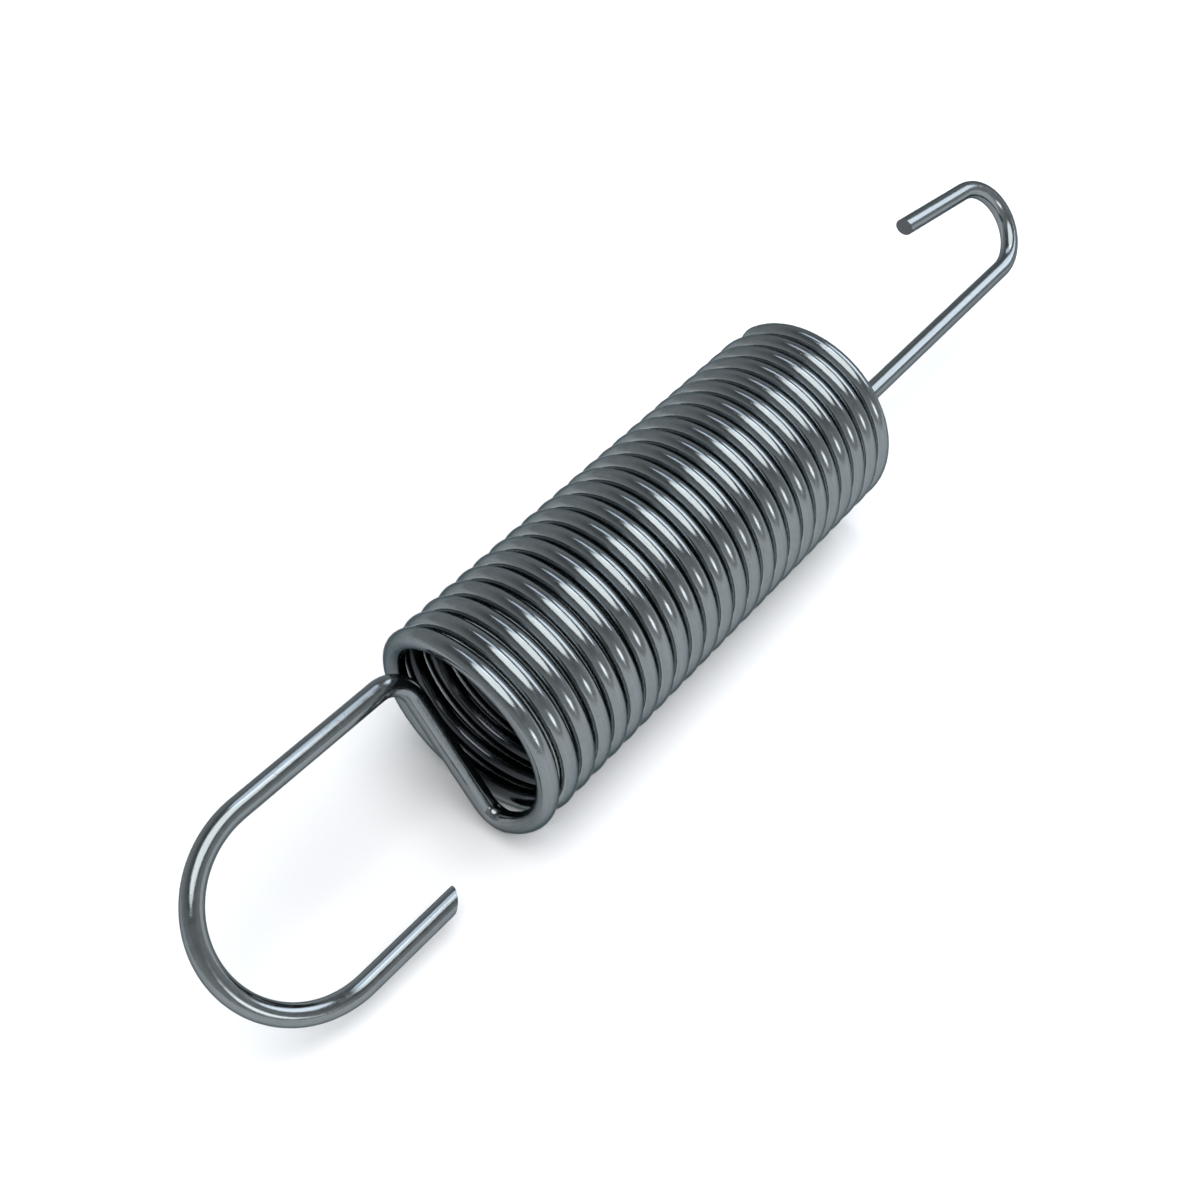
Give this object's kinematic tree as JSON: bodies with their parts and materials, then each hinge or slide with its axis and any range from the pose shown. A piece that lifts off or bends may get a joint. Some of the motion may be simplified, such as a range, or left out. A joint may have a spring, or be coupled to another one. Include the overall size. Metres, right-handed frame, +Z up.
{
  "type": "extension spring",
  "caption": "Close-wound cylindrical extension spring of bright plated steel wire, with a long open hook at each end, one wide and one narrow.",
  "frame": {"origin": "midway between the outermost points of the two hooks, below the coil axis, on the surface the spring lies on", "axes": "+X along the coil axis from the wide hook to the narrow hook, +Z up, +Y completing a right-handed set; the coil axis is half the coil diameter above the origin"},
  "size_m": [0.0656, 0.011, 0.011],
  "materials": {
    "plated_steel": "bright zinc plate over drawn spring wire"
  },
  "bodies": {
    "root": {"spring_wire": "plated_steel"}
  },
  "joints": []
}
